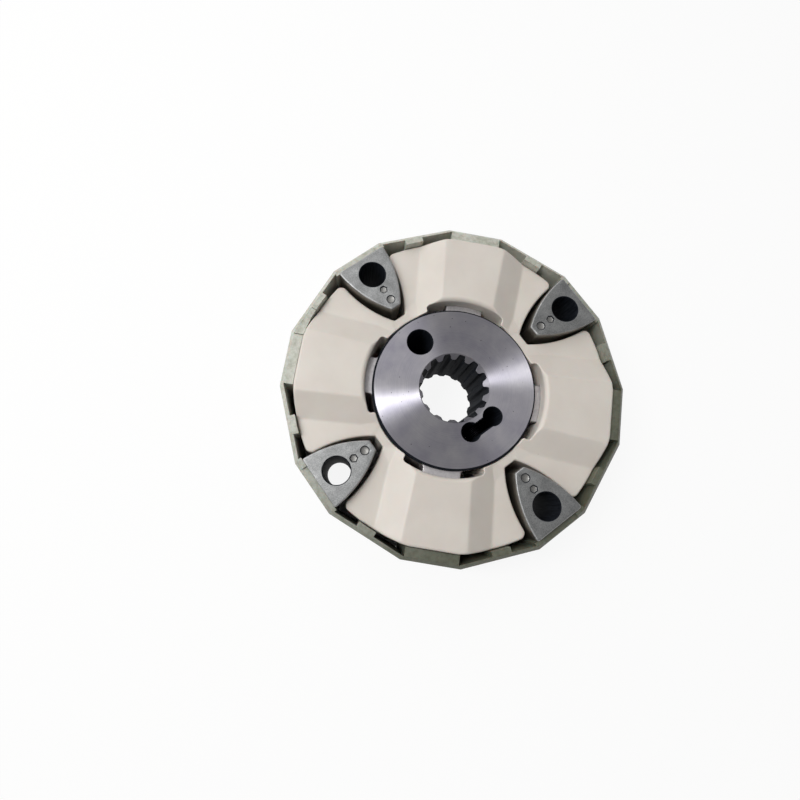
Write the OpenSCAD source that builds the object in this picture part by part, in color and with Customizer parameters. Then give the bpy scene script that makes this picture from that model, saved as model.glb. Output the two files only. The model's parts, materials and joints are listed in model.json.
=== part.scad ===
// Flexible drive coupling between an engine flywheel and the splined shaft of a hydraulic pump.
// Four cast inserts bolt to the flywheel and push on a moulded elastic element.
// The element pushes on the four lugs of a steel hub, which is clamped on the pump shaft.
// Origin: the coupling axis, in the plane that the coupling rests on. +Z: towards the flywheel.
// The four inserts lie on the X and Y axes, and the hub's lugs lie half way between them.

// The sizes build outwards: hub, web, insert and ring, so that the bolt circle is 150 mm across.

/* [Inserts] */
// Height of the inserts, from the resting plane to the face that meets the flywheel
insert_h = 48; // [46:1:56]
// Width of the straight outer edge
insert_w = 29; // [27:0.2:30]
// Distance from the bolt hole's centre to the outer edge
insert_out = 10.8; // [9.6:0.1:12]
// Distance from the bolt hole's centre to the blunt inner tip
insert_in = 22.1; // [20:0.1:23]
// Width of the blunt inner tip
insert_tip_w = 5.6; // [5:0.2:7]
// Radius of the two curved flanks
insert_flank_r = 60; // [56:1:70]
// Diameter of the bolt hole
bolt_hole_d = 14; // [13:0.5:15]
// Bevel around the face and around the bolt hole
insert_bevel = 0.7; // [0.3:0.1:1.2]
// Diameter of the two shallow marks that the casting tool left
cast_mark_d = 4.4; // [3:0.2:5]
// Depth of those marks
cast_mark_depth = 0.5; // [0.2:0.1:0.8]
// Distance from the bolt hole's centre to the first mark
cast_mark_first = 10.4; // [10:0.1:11]
// Distance between the two marks
cast_mark_step = 6.7; // [5.5:0.1:7]

/* [Flexible element] */
// How far the element's round edge lies inside the inserts' outer edges
element_inset = 2; // [1.2:0.1:3]
// Depth of the four flats on the outer edge, one at the middle of each segment
element_flat = 0.9; // [0.2:0.1:1.6]
// How far the raised pads lie below the insert faces
pad_drop = 0; // [0:0.1:2]
// How far the low lands beside the inserts lie below the insert faces
land_drop = 6.5; // [5:0.1:9]
// Gap between the element's underside and the resting plane
element_lift = 1; // [0.5:0.1:3]
// Half width of a raised pad at its outer end
pad_out_w = 16.7; // [15:0.1:18]
// Half width of a raised pad at its inner end
pad_in_w = 14.1; // [12:0.1:15]
// Width of the slope between a pad and the low land
pad_slope_w = 13.4; // [11:0.1:15]
// How far the insert pockets reach past the inserts' tips
pocket_reach = 4.1; // [3:0.1:4.5]
// Thickness of the web between an insert pocket and the hub
web_w = 4.9; // [3.5:0.1:7]
// Extra clearance all round the insert pockets
pocket_clear = 0.5; // [0.3:0.1:0.8]
// Radius of the rounded corners beside the insert pockets
element_corner_r = 3.5; // [2:0.1:4]
// Bevel around the pads and the outer edge
element_bevel = 1.2; // [0.5:0.1:2]
// Width of the relief that opens around the hub inside each segment
relief_w = 3.8; // [3:0.1:5]
// Half angle of each relief
relief_angle = 27; // [24:0.5:29]
// Slanted edge around the upper end of each relief
relief_bevel = 2.4; // [1:0.1:3]

/* [Hub] */
// Diameter of the hub's face
hub_d = 87; // [84:0.5:89]
// How far the hub's face lies below the insert faces
hub_drop = 4.2; // [3:0.1:8]
// Bevel at the hub's rim
hub_bevel = 1; // [0.5:0.1:1.5]
// Width of a lug
lug_w = 20; // [16:0.5:22]
// How far a lug reaches beyond the hub's rim
lug_out = 26.5; // [20:0.5:29]
// Depth of the lugs' upper sides below the hub's face
lug_drop = 3.6; // [3:0.1:5]
// Rounding of the lugs' outer corners
lug_corner_r = 4; // [2:0.5:6]
// Clearance around the hub and its lugs inside the element
plug_clear = 0.4; // [0.3:0.05:0.8]
// Diameter of the drilled hole beside the bore
puller_hole_d = 13.8; // [12:0.2:15]
// Distance from the axis to that hole
puller_hole_at = 30.6; // [29.5:0.1:32.5]

/* [Splined bore] */
// Number of spline teeth
spline_teeth = 14; // [12:1:16]
// Pitch diameter of the spline
spline_pitch_d = 35; // [34.6:0.1:35.4]
// Diameter across the tips of the teeth
spline_minor_d = 33; // [32.4:0.1:33.6]
// Diameter across the roots between the teeth
spline_major_d = 36.8; // [36.2:0.1:37.2]
// Pressure angle of the spline's involute flanks
spline_pressure = 30; // [28:1:32]
// Diameter of the bore's bevel at each face
bore_bevel_d = 37.8; // [37:0.1:38.6]
// Depth of that bevel
bore_bevel_depth = 4; // [2:0.1:5]

/* [Clamp] */
// Diameter of the two drilled ends of the clamping slot
slot_end_d = 10; // [9:0.1:10.6]
// Width of the clamping slot between them
slot_w = 6.2; // [5:0.1:7]
// Distance from the axis to the drilled ends
slot_end_at = 24.8; // [24.4:0.1:25.4]
// Half the angle between the drilled ends
slot_half_angle = 16.9; // [16:0.1:20]
// Distance from the axis to the middle of the straight cut
slot_mid_at = 24.6; // [24.2:0.1:25.2]
// Thread diameter of the clamp screw
clamp_screw_d = 12; // [10:0.5:14]
// Length of the clamp screw
clamp_screw_len = 16; // [14:0.5:18]
// Hexagon socket, across its flats
clamp_socket_af = 6; // [5:0.5:7]
// Depth of the hexagon socket
clamp_socket_depth = 7; // [5:0.5:9]
// Bevel at the screw's tip
clamp_screw_bevel = 1.5; // [0.5:0.1:2]
// Radial clearance between the screw and its hole
clamp_screw_clear = 0.05; // [0.02:0.01:0.1]

/* [Outer ring] */
// Thickness of the ring outside the inserts
ring_strip_t = 4.1; // [3.5:0.1:6]
// Half angle of the sides that lie outside the inserts and the pads
ring_side_angle = 9.5; // [9:0.1:10]
// Depth of the ring's upper edge below the insert faces
ring_drop = 2.2; // [1:0.1:4]
// Thickness of the ring's thin wall
ring_wall = 2.2; // [1.8:0.1:2.6]
// Bevel around the ring's outer upper edge
ring_bevel = 1.8; // [0.8:0.1:2]
// Clearance between the ring and the element
ring_clear = 0.4; // [0.3:0.05:0.8]
// Half width of the solid block outside each pad
ring_block_w = 13.5; // [12:0.1:14.5]
// Width of the ribs that hold the element beside each insert
ring_rib_w = 9.8; // [8:0.1:11]
// Distance of a rib's middle from the middle of its side, towards the insert
ring_rib_shift = 1.1; // [0:0.1:2]
// How far the seat for an insert is wider than the insert, on each side
ring_seat_clear = 1.2; // [0.8:0.1:2]
// Length of the shoulder at each end of the strip outside an insert
ring_shoulder = 5.2; // [4:0.1:6]
// Depth of the strip below those shoulders
ring_strip_drop = 1.2; // [0.5:0.1:2]

/* [Hidden] */

cast_aluminium = [0.62, 0.64, 0.64];
moulded_nylon = [0.66, 0.68, 0.60];
moulded_elastomer = [0.88, 0.84, 0.79];
ground_steel = [0.52, 0.51, 0.54];
blackened_steel = [0.12, 0.12, 0.13];

$fn = 96;
copies = 4;
copy_step = 360 / copies;
segment_turn = copy_step / 2;
over = 0.5;
hair = 0.02;

hub_r = hub_d / 2;
hub_bore_r = hub_r + plug_clear;
hub_len = insert_h - hub_drop;
insert_tip_x = hub_bore_r + web_w + pocket_reach;
bolt_at = insert_tip_x + insert_in;
insert_edge_x = bolt_at + insert_out;
tall = 3 * insert_h;
wide = 4 * insert_edge_x;

element_r = insert_edge_x - element_inset;
element_top = insert_h - pad_drop;
land_z = insert_h - land_drop;
element_h = element_top - element_lift;
pad_rise = element_top - land_z;
pad_slope = atan(pad_rise / pad_slope_w);

relief_r = hub_r + relief_w;
lug_reach = hub_r + lug_out;
lug_top = hub_len - lug_drop;
pad_flare = atan((pad_out_w - pad_in_w) / (element_r - relief_r));

clamp_screw_z = hub_len / 2;
clamp_tip_r = slot_mid_at - slot_w / 2;

ring_side_x = insert_edge_x + ring_strip_t;
ring_r = ring_side_x / cos(ring_side_angle);
ring_top = insert_h - ring_drop;
ring_wing_turn = segment_turn / 2;
ring_wing_angle = ring_wing_turn - ring_side_angle;
ring_wing_x = ring_r * cos(ring_wing_angle);
ring_bore_r = element_r + ring_clear;
ring_seat_w = insert_w / 2 + ring_seat_clear;
ring_flat_x = element_r - element_flat + ring_clear;

// Repeat the children once for each insert
module around() {
    for (k = [0 : copies - 1]) rotate([0, 0, k * copy_step]) children();
}

// Repeat the children once for each segment between two inserts
module around_segments() {
    rotate([0, 0, segment_turn]) around() children();
}

// Unit vector in the plane, at an angle from +X
function dir(a) = [cos(a), sin(a)];

// Centre of the arc that makes one flank, in the insert's own plane
function flank_length() = norm([insert_edge_x - insert_tip_x, (insert_w - insert_tip_w) / 2]);
function flank_sagitta() = sqrt(insert_flank_r * insert_flank_r - flank_length() * flank_length() / 4);
function flank_centre() =
    let (dx = insert_edge_x - insert_tip_x, dy = (insert_w - insert_tip_w) / 2)
    [(insert_edge_x + insert_tip_x) / 2 + flank_sagitta() * dy / flank_length(),
     (insert_w + insert_tip_w) / 4 - flank_sagitta() * dx / flank_length()];

// A cylinder about a flank's centre, with a bevelled upper rim
module flank_solid(side, grow, height, bevel) {
    translate([flank_centre().x, side * flank_centre().y, 0]) {
        cylinder(r = insert_flank_r + grow, h = height - bevel, $fn = 240);
        translate([0, 0, height - bevel])
            cylinder(r1 = insert_flank_r + grow, r2 = insert_flank_r + grow - bevel, h = bevel, $fn = 240);
    }
}

// A bar along X from x0 to x1, with both ends bevelled at the top
module bevelled_bar(x0, x1, half_w, height, bevel) {
    rotate([90, 0, 0])
        translate([0, 0, -half_w])
            linear_extrude(2 * half_w)
                polygon([[x0, 0], [x1, 0], [x1, height - bevel], [x1 - bevel, height],
                         [x0 + bevel, height], [x0, height - bevel]]);
}

// The shield shape of an insert: two flank arcs meeting the outer edge and the blunt tip
module insert_body() {
    intersection() {
        flank_solid(1, 0, insert_h, insert_bevel);
        flank_solid(-1, 0, insert_h, insert_bevel);
        bevelled_bar(insert_tip_x, insert_edge_x, insert_w, insert_h, insert_bevel);
    }
}

// Cone that bevels the rim of a hole of radius r at height z
module hole_bevel(r, bevel, z, up) {
    translate([0, 0, z]) mirror([0, 0, up ? 0 : 1])
        translate([0, 0, -bevel]) cylinder(r1 = r, r2 = r + bevel + over, h = bevel + over);
}

// Cast aluminium insert on the +X axis
module insert() {
    color(cast_aluminium)
    difference() {
        insert_body();
        translate([bolt_at, 0, -over]) cylinder(d = bolt_hole_d, h = insert_h + 2 * over);
        translate([bolt_at, 0, 0]) {
            hole_bevel(bolt_hole_d / 2, insert_bevel / 2, insert_h, true);
            hole_bevel(bolt_hole_d / 2, insert_bevel / 2, 0, false);
        }
        for (k = [0 : 1])
            translate([bolt_at - cast_mark_first - k * cast_mark_step, 0, insert_h - cast_mark_depth])
                cylinder(d = cast_mark_d, h = cast_mark_depth + over);
    }
}

module insert_1() { insert(); }
module insert_2() { rotate([0, 0, copy_step]) insert(); }
module insert_3() { rotate([0, 0, 2 * copy_step]) insert(); }
module insert_4() { rotate([0, 0, 3 * copy_step]) insert(); }

// Round blank of the element, with its four flats and its bevelled upper rim
module element_blank() {
    intersection() {
        union() {
            translate([0, 0, element_lift]) cylinder(r = element_r, h = element_h - element_bevel, $fn = 240);
            translate([0, 0, element_top - element_bevel])
                cylinder(r1 = element_r, r2 = element_r - element_bevel, h = element_bevel, $fn = 240);
        }
        intersection_for (k = [0 : copies / 2 - 1])
            rotate([0, 0, segment_turn + k * copy_step])
                bevelled_bar(-(element_r - element_flat), element_r - element_flat,
                             element_r, element_top, element_bevel);
    }
}

// Pocket for the insert on the +X axis, the insert's own shape moved inwards and let out all round
module insert_pocket() {
    translate([-pocket_reach, 0, -over])
        intersection() {
            flank_solid(1, pocket_clear, tall, 0);
            flank_solid(-1, pocket_clear, tall, 0);
            translate([insert_tip_x, -insert_w, 0]) cube([wide, 2 * insert_w, tall]);
        }
}

// Everything above the slope beside one pad, on one side of the pad
module above_slope(side) {
    translate([relief_r, side * (pad_in_w + pad_slope_w), land_z])
        rotate([0, 0, side * pad_flare])
            rotate([-side * pad_slope, 0, 0])
                translate([-wide, -wide, 0]) cube([2 * wide, 2 * wide, tall]);
}

// Room above the low lands around the insert on the +X axis
module land_cut() {
    intersection() {
        translate([0, -wide / 2, land_z]) cube([wide, wide, tall]);
        rotate([0, 0, segment_turn]) above_slope(-1);
        rotate([0, 0, -segment_turn]) above_slope(1);
    }
}

// Sector of a ring around the axis, centred on +X
module ring_sector(r0, r1, half_angle, z0, z1) {
    translate([0, 0, z0])
        rotate([0, 0, -half_angle])
            rotate_extrude(angle = 2 * half_angle)
                translate([r0, 0]) square([r1 - r0, z1 - z0]);
}

// Slanted edge between a pad and the relief inside it
module relief_bevel_cut() {
    rotate([0, 0, -relief_angle])
        rotate_extrude(angle = 2 * relief_angle)
            polygon([[relief_r - over, element_top - relief_bevel - over],
                     [relief_r + relief_bevel + over, element_top + over],
                     [relief_r - over, element_top + over]]);
}

// One lug along +X, with rounded outer corners, let out by a clearance
module lug(grow, z0, z1) {
    reach = lug_reach + grow;
    half = lug_w / 2 + grow;
    r = lug_corner_r + grow;
    translate([0, 0, z0]) {
        translate([0, -half, 0]) cube([reach - r, 2 * half, z1 - z0]);
        translate([0, -half + r, 0]) cube([reach, 2 * (half - r), z1 - z0]);
        for (side = [-1, 1]) translate([reach - r, side * (half - r), 0]) cylinder(r = r, h = z1 - z0);
    }
}

// Cuts the sharp corner between the outer edge and a pocket's flank down to a round one
module arm_corner_cut(side) {
    r = element_corner_r;
    far_r = 1.5 * r;
    fx = flank_centre().x - pocket_reach;
    fy = flank_centre().y;
    // The corner circle crosses the outer edge and the flank's arc a hair past the point of touch
    edge_reach = element_r - r + hair;
    flank_reach = insert_flank_r + pocket_clear + r - hair;
    d = norm([fx, fy]);
    along = (edge_reach * edge_reach - flank_reach * flank_reach + d * d) / (2 * d);
    rise = sqrt(edge_reach * edge_reach - along * along);
    centre = [(along * fx - rise * fy) / d, (along * fy + rise * fx) / d];
    edge_angle = atan2(centre.y, centre.x);
    flank_angle = atan2(centre.y - fy, centre.x - fx) - 180;
    half = (edge_angle - flank_angle) / 2;
    mirror([0, side > 0 ? 0 : 1, 0])
        difference() {
            linear_extrude(tall)
                polygon([centre, centre + far_r * dir(edge_angle),
                         centre + far_r / cos(half) * dir(edge_angle - half),
                         centre + far_r * dir(flank_angle)]);
            translate([centre.x, centre.y, -over]) cylinder(r = r, h = tall + 2 * over);
        }
}

// Moulded elastic element: four segments joined by thin webs between the inserts and the hub
module flexible_element() {
    color(moulded_elastomer)
    difference() {
        element_blank();
        translate([0, 0, -over]) cylinder(r = hub_bore_r, h = tall);
        around() {
            insert_pocket();
            land_cut();
            arm_corner_cut(1);
            arm_corner_cut(-1);
        }
        around_segments() {
            ring_sector(hub_r - over, relief_r, relief_angle, -over, tall);
            relief_bevel_cut();
            lug(plug_clear, -over, lug_top + plug_clear);
        }
    }
}

// Involute function, and the half angle of a spline space at radius r
function inv(a) = tan(a) - a * PI / 180;
function spline_base_r() = spline_pitch_d / 2 * cos(spline_pressure);
function space_half_angle(r) =
    let (a = acos(min(1, spline_base_r() / r)))
    90 / spline_teeth + (inv(spline_pressure) - inv(a)) * 180 / PI;

// One space between two teeth of the bore, from just inside the tip circle to the root circle
module spline_space() {
    r0 = spline_minor_d / 2 - over / 2;
    r1 = spline_major_d / 2;
    radii = [for (k = [0 : 4]) r0 + (r1 - r0) * k / 4];
    low = [for (r = radii) r * [cos(space_half_angle(r)), -sin(space_half_angle(r))]];
    high = [for (k = [4 : -1 : 0]) radii[k] * [cos(space_half_angle(radii[k])), sin(space_half_angle(radii[k]))]];
    polygon(concat([[r0 / 2, 0]], low, high));
}

// Splined bore with a bevel at each end
module bore() {
    translate([0, 0, -over]) cylinder(d = spline_minor_d, h = hub_len + 2 * over);
    translate([0, 0, -over])
        for (k = [0 : spline_teeth - 1])
            rotate([0, 0, 90 + k * 360 / spline_teeth]) linear_extrude(hub_len + 2 * over) spline_space();
    bevel_slope = (bore_bevel_d - spline_minor_d) / 2 / bore_bevel_depth;
    for (end = [0, 1])
        translate([0, 0, end * hub_len]) mirror([0, 0, end])
            translate([0, 0, -over])
                cylinder(r1 = bore_bevel_d / 2 + over * bevel_slope,
                         r2 = spline_minor_d / 2 - over * bevel_slope, h = bore_bevel_depth + 2 * over);
}

// Clamping slot: two drilled holes joined by a straight cut beside the bore, on the -Y side
module clamp_slot() {
    translate([0, 0, -over]) {
        for (side = [-1, 1])
            rotate([0, 0, -90 + side * slot_half_angle])
                translate([slot_end_at, 0, 0]) cylinder(d = slot_end_d, h = hub_len + 2 * over);
        translate([-slot_end_at * sin(slot_half_angle), -slot_mid_at - slot_w / 2, 0])
            cube([2 * slot_end_at * sin(slot_half_angle), slot_w, hub_len + 2 * over]);
    }
}

// Steel hub: a turned disc with four lugs, the splined bore and the clamping slot
module hub() {
    color(ground_steel)
    difference() {
        union() {
            translate([0, 0, hub_bevel]) cylinder(r = hub_r, h = hub_len - 2 * hub_bevel, $fn = 180);
            for (end = [0, 1])
                translate([0, 0, end * hub_len]) mirror([0, 0, end])
                    cylinder(r1 = hub_r - hub_bevel, r2 = hub_r, h = hub_bevel, $fn = 180);
            around_segments() lug(0, element_lift, lug_top);
        }
        bore();
        clamp_slot();
        translate([0, puller_hole_at, -over]) cylinder(d = puller_hole_d, h = hub_len + 2 * over);
        translate([0, -slot_mid_at, clamp_screw_z]) rotate([90, 0, 0])
            cylinder(r = clamp_screw_d / 2 + clamp_screw_clear, h = hub_r);
    }
}

// Socket set screw that presses the thin wall beside the bore onto the shaft
module clamp_screw() {
    color(blackened_steel)
    translate([0, -clamp_tip_r, clamp_screw_z]) rotate([90, 0, 0])
        difference() {
            union() {
                cylinder(r1 = clamp_screw_d / 2 - clamp_screw_bevel, r2 = clamp_screw_d / 2,
                         h = clamp_screw_bevel);
                translate([0, 0, clamp_screw_bevel])
                    cylinder(d = clamp_screw_d, h = clamp_screw_len - clamp_screw_bevel);
            }
            translate([0, 0, clamp_screw_len - clamp_socket_depth])
                cylinder(d = clamp_socket_af / cos(30), h = clamp_socket_depth + over, $fn = 6);
        }
}

// Corner between the ring's sides number k and k + 1, with every side moved inwards by an inset
function ring_side_at(k) = k % 2 == 0 ? ring_side_x : ring_wing_x;
function ring_corner(k, inset) =
    let (a = k * ring_wing_turn, b = a + ring_wing_turn,
         da = ring_side_at(k) - inset, db = ring_side_at(k + 1) - inset)
    [da * sin(b) - db * sin(a), db * cos(a) - da * cos(b)] / sin(ring_wing_turn);

// Prism with the ring's sixteen sides
module ring_prism(inset, height) {
    linear_extrude(height) polygon([for (k = [0 : 4 * copies - 1]) ring_corner(k, inset)]);
}

// The ring's outer form, bevelled around the upper edge
module ring_blank() {
    hull() {
        ring_prism(0, ring_top - ring_bevel);
        ring_prism(ring_bevel, ring_top);
    }
}

// Room inside the ring's thin wall, on one side of an insert, in the frame of that straight side
module wing_room(side) {
    inner = ring_wing_x - ring_wall;
    rib0 = -ring_rib_shift - ring_rib_w / 2;
    rib1 = rib0 + ring_rib_w;
    length = ring_r * sin(ring_wing_angle) + ring_shoulder;
    difference() {
        rotate([0, 0, side * ring_wing_turn])
            mirror([0, side > 0 ? 0 : 1, 0]) {
                translate([inner - 4 * ring_wall, -length, 0]) cube([4 * ring_wall, length + rib0, tall]);
                translate([inner - 4 * ring_wall, rib1, 0]) cube([4 * ring_wall, length - rib1, tall]);
            }
        // The strip and shoulders outside the insert stay solid
        translate([insert_edge_x - over, -ring_seat_w, -over])
            cube([ring_r, 2 * ring_seat_w, tall + 2 * over]);
        // So does the block outside the pad
        rotate([0, 0, side * segment_turn])
            translate([ring_flat_x - 2 * over, -ring_block_w, -over])
                cube([ring_r, 2 * ring_block_w, tall + 2 * over]);
    }
}

// Nylon ring that holds the inserts and the element together
module outer_ring() {
    color(moulded_nylon)
    difference() {
        ring_blank();
        translate([0, 0, -over]) intersection() {
            cylinder(r = ring_bore_r, h = tall, $fn = 240);
            intersection_for (k = [0 : copies / 2 - 1])
                rotate([0, 0, segment_turn + k * copy_step])
                    translate([-ring_flat_x, -wide / 2, 0]) cube([2 * ring_flat_x, wide, tall]);
        }
        around() {
            translate([0, -ring_seat_w - over, -over])
                cube([insert_edge_x, 2 * (ring_seat_w + over), tall]);
            translate([0, 0, -over]) {
                wing_room(1);
                wing_room(-1);
            }
            translate([0, ring_shoulder - ring_seat_w, ring_top - ring_strip_drop])
                cube([wide, 2 * (ring_seat_w - ring_shoulder), tall]);
        }
    }
}

outer_ring();
flexible_element();
hub();
clamp_screw();
insert_1();
insert_2();
insert_3();
insert_4();
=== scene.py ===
# %% [markdown]
# # Dressing a flexible pump drive coupling
# The coupling joins an engine's flywheel to the splined shaft of a hydraulic pump. A steel hub
# sits in a cream elastic element, four cast inserts bolt the element to the flywheel, and a thin
# nylon ring holds them together. The solid model is already made and packed, so this lesson only
# gives it its finished surfaces, its light and its camera. Everything is in metres, in the
# frame of that model: the axis is Z, and the table is the plane z = 0.

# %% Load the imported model
import json
import math

import bmesh
import bpy
import numpy as np
from mathutils import Matrix, Vector
from mathutils.geometry import delaunay_2d_cdt, tessellate_polygon


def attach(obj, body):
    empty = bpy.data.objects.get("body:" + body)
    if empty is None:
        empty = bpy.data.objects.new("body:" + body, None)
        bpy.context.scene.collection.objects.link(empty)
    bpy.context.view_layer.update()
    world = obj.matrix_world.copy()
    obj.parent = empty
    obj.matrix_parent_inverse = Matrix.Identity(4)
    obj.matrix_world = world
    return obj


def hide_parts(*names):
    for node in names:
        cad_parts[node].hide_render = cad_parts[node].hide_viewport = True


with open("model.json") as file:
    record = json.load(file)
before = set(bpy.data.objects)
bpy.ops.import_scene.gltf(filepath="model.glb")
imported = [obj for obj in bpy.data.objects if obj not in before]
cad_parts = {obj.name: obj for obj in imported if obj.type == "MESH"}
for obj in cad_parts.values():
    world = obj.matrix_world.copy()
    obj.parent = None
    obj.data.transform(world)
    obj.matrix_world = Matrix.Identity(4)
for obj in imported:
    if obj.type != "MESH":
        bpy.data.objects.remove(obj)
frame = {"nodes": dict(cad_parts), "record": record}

for leftover in ("Cube", "Light", "Camera"):
    if leftover in bpy.data.objects:
        bpy.data.objects.remove(bpy.data.objects[leftover])
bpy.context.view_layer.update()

mm = 0.001
print("nodes:", sorted(frame["nodes"]))

# %% [markdown]
# ## The camera
# The photograph was taken from close by, a little off the axis, so the bore is seen down to its
# far end and the ring's lower right side shows. The place of the camera was solved from the round
# features, and is given here as a place, a point on the insert faces that it looks at, and the
# direction that is up in the picture. The small shift says where the middle of the lens falls.
# Turning a camera by hand until the picture agrees would do too, but a solved one needs no guess.

# %% Camera at the photograph's angle
picture_size, focal_pixels, lens_centre = 800, 467.6, (380.6, 401.9)
camera_place = Vector((-74.19, -15.34, 281.46)) * mm
camera_aim = Vector((-37.07, 15.57, 48.0)) * mm
up_turn = math.radians(35.57)

camera_data = bpy.data.cameras.new("photo_camera")
camera = bpy.data.objects.new("photo_camera", camera_data)
bpy.context.scene.collection.objects.link(camera)
back = (camera_place - camera_aim).normalized()
up = Vector((math.sin(up_turn), math.cos(up_turn), 0))
up = (up - back * up.dot(back)).normalized()
facing = Matrix((up.cross(back), up, back)).transposed().to_4x4()
camera.matrix_world = Matrix.Translation(camera_place) @ facing
camera_data.sensor_width = 36
camera_data.lens = camera_data.sensor_width * focal_pixels / picture_size
camera_data.shift_x = (picture_size / 2 - lens_centre[0]) / picture_size
camera_data.shift_y = (lens_centre[1] - picture_size / 2) / picture_size
camera_data.clip_start = 0.01
bpy.context.scene.camera = camera
distance = (camera_place - camera_aim).length
print("lens", round(camera_data.lens, 2), "mm, distance", round(distance, 3), "m")

# %% [markdown]
# ## Light and table
# The real coupling lay on white paper under a bright window. A window on the picture's upper left
# gives the soft light, and a narrow lamp beside it draws the two bright fans on the turned steel.
# The room fills the rest, brighter on the lamps' side. Together they come to about one, so that a
# colour renders as it is written. A picture of a whole room, wrapped round the scene, could do the
# same, but two lamps and a slanted room are easier to aim. Low behind the table the camera and the
# gloss see a pale backdrop, which lights nothing else.


# %% A colour and a node
def colour(code):
    """Linear RGBA of an sRGB hex code: c / 12.92 up to 0.04045, else ((c + 0.055) / 1.055) ** 2.4."""
    c = np.array([int(code[k:k + 2], 16) for k in (0, 2, 4)]) / 255
    linear = np.where(c <= 0.04045, c / 12.92, ((c + 0.055) / 1.055) ** 2.4)
    return (*linear.tolist(), 1.0)


def add(tree, kind, inputs=None, out=0, stops=(), **settings):
    """Adds one node with its settings and gives back one of its outputs. An input is a value, or an
    output that is linked to it. Stops are the (place, hex colour) pairs of a colour ramp."""
    made = tree.nodes.new(kind)
    for name, value in settings.items():
        setattr(made, name, value)
    for k, (place, code) in enumerate(stops):
        if k >= len(made.color_ramp.elements):
            made.color_ramp.elements.new(place)
        made.color_ramp.elements[k].position = place
        made.color_ramp.elements[k].color = colour(code)
    for socket, value in (inputs or {}).items():
        if isinstance(value, bpy.types.NodeSocket):
            tree.links.new(value, made.inputs[socket])
        else:
            made.inputs[socket].default_value = value
    return made.outputs[out] if made.outputs else None


def finish_of(shader):
    """The material of a shader function, named after it. The function gets the node tree and Object
    coordinates, in metres, and gives back the shader's output."""
    material = bpy.data.materials.new(shader.__name__)
    material.use_nodes = True
    tree = material.node_tree
    tree.nodes.clear()
    place = add(tree, "ShaderNodeTexCoord", out="Object")
    add(tree, "ShaderNodeOutputMaterial", {"Surface": shader(tree, place)})
    return material


def direct_sight(tree):
    """1 for rays that show a surface as such, straight from the camera or by way of something glossy
    or clear, and 0 for the light that falls on other things."""
    seen = add(tree, "ShaderNodeLightPath", out="Is Camera Ray")
    for name in ("Is Glossy Ray", "Is Transmission Ray"):
        ray = add(tree, "ShaderNodeLightPath", out=name)
        seen = add(tree, "ShaderNodeMath", {0: seen, 1: ray}, operation="MAXIMUM")
    return seen


# Settings of a Mix node for two tints: one laid over the other, or the one times the other
over_tint = {"out": 2, "data_type": "RGBA"}
times_tint = {**over_tint, "blend_type": "MULTIPLY"}
print("mid grey is", [round(c, 3) for c in colour("808080")])

# %% Window and lamp
flat_up = Vector((math.sin(up_turn), math.cos(up_turn), 0))
flat_right = Vector((flat_up.y, -flat_up.x, 0))


def light_from(name, right, towards_up, height, watts, width, length):
    """A rectangular lamp that looks at the object, placed by the picture's right and up, in metres."""
    place = flat_right * right + flat_up * towards_up + Vector((0, 0, height))
    lamp = bpy.data.objects.new(name, bpy.data.lights.new(name, "AREA"))
    bpy.context.scene.collection.objects.link(lamp)
    lamp.data.energy, lamp.data.shape = watts, "RECTANGLE"
    lamp.data.size, lamp.data.size_y = width, length
    facing = (-place).to_track_quat("-Z", "Y").to_matrix().to_4x4()
    lamp.matrix_world = Matrix.Translation(place) @ facing
    print(f"{name} at", [round(v, 2) for v in place], "m,", watts, "W")
    return place


window_place = light_from("window", -0.28, 0.42, 0.55, watts=1.3, width=0.6, length=0.6)
lamp_place = light_from("lamp", -0.46, 0.05, 0.78, watts=3.6, width=0.10, length=0.4)

# %% The room, brighter towards the lamps, and the pale backdrop low behind the table
room_level, room_slant, darkest = 0.14, 0.40, 0.04
backdrop_white, backdrop_top = 0.85, 0.4

room = bpy.data.worlds.new("room")
bpy.context.scene.world = room
room.use_nodes = True
tree = room.node_tree
tree.nodes.clear()
towards = add(tree, "ShaderNodeTexCoord", out="Generated")
slant = add(tree, "ShaderNodeVectorMath", {0: towards, 1: (window_place + lamp_place).normalized()},
            out="Value", operation="DOT_PRODUCT")
level = add(tree, "ShaderNodeMath", {0: slant, 1: room_slant, 2: room_level}, operation="MULTIPLY_ADD")
level = add(tree, "ShaderNodeMath", {0: level, 1: darkest}, operation="MAXIMUM")
low = add(tree, "ShaderNodeSeparateXYZ", {0: towards}, out="Z")
low = add(tree, "ShaderNodeMapRange", {"Value": low, "From Min": backdrop_top, "From Max": 0.0})
behind = add(tree, "ShaderNodeMath", {0: direct_sight(tree), 1: low}, operation="MULTIPLY")
level = add(tree, "ShaderNodeMix", {0: behind, 2: level, 3: backdrop_white})
sky = add(tree, "ShaderNodeBackground", {"Color": colour("FFFFFF"), "Strength": level})
add(tree, "ShaderNodeOutputWorld", {"Surface": sky})
print("room: level", room_level, "at its middle,", room_level + room_slant, "towards the lamps")

# %% [markdown]
# ## The white paper
# Most of what the camera sees of the paper is its own white, and the rest is lit and keeps the
# object's shadow. Below the coupling the paper is only lit, so that the thin gaps stay dark, but
# its own white shows through the bore and the bolt holes, as in the photograph. Discs of white
# card under the holes would do that too, but they could be seen from the side. The distance to a
# bolt hole is measured in one folded quarter of the table, so that one test does for two holes.

# %% The table
table_size = 6.0
corners = np.array([(-1, -1, 0), (1, -1, 0), (1, 1, 0), (-1, 1, 0)]) * table_size / 2
table_mesh = bpy.data.meshes.new("table")
table_mesh.from_pydata(corners.tolist(), [], [(0, 1, 2, 3)])
table = bpy.data.objects.new("table", table_mesh)
bpy.context.scene.collection.objects.link(table)
print("table", table_size, "m wide")

# %% Its paper
own_white, covered_r = 0.90, 89.0 * mm
white_spots = (((0, 0, 0), 19.5 * mm), ((75.0 * mm, 0, 0), 8.0 * mm), ((0, 75.0 * mm, 0), 8.0 * mm))


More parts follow.
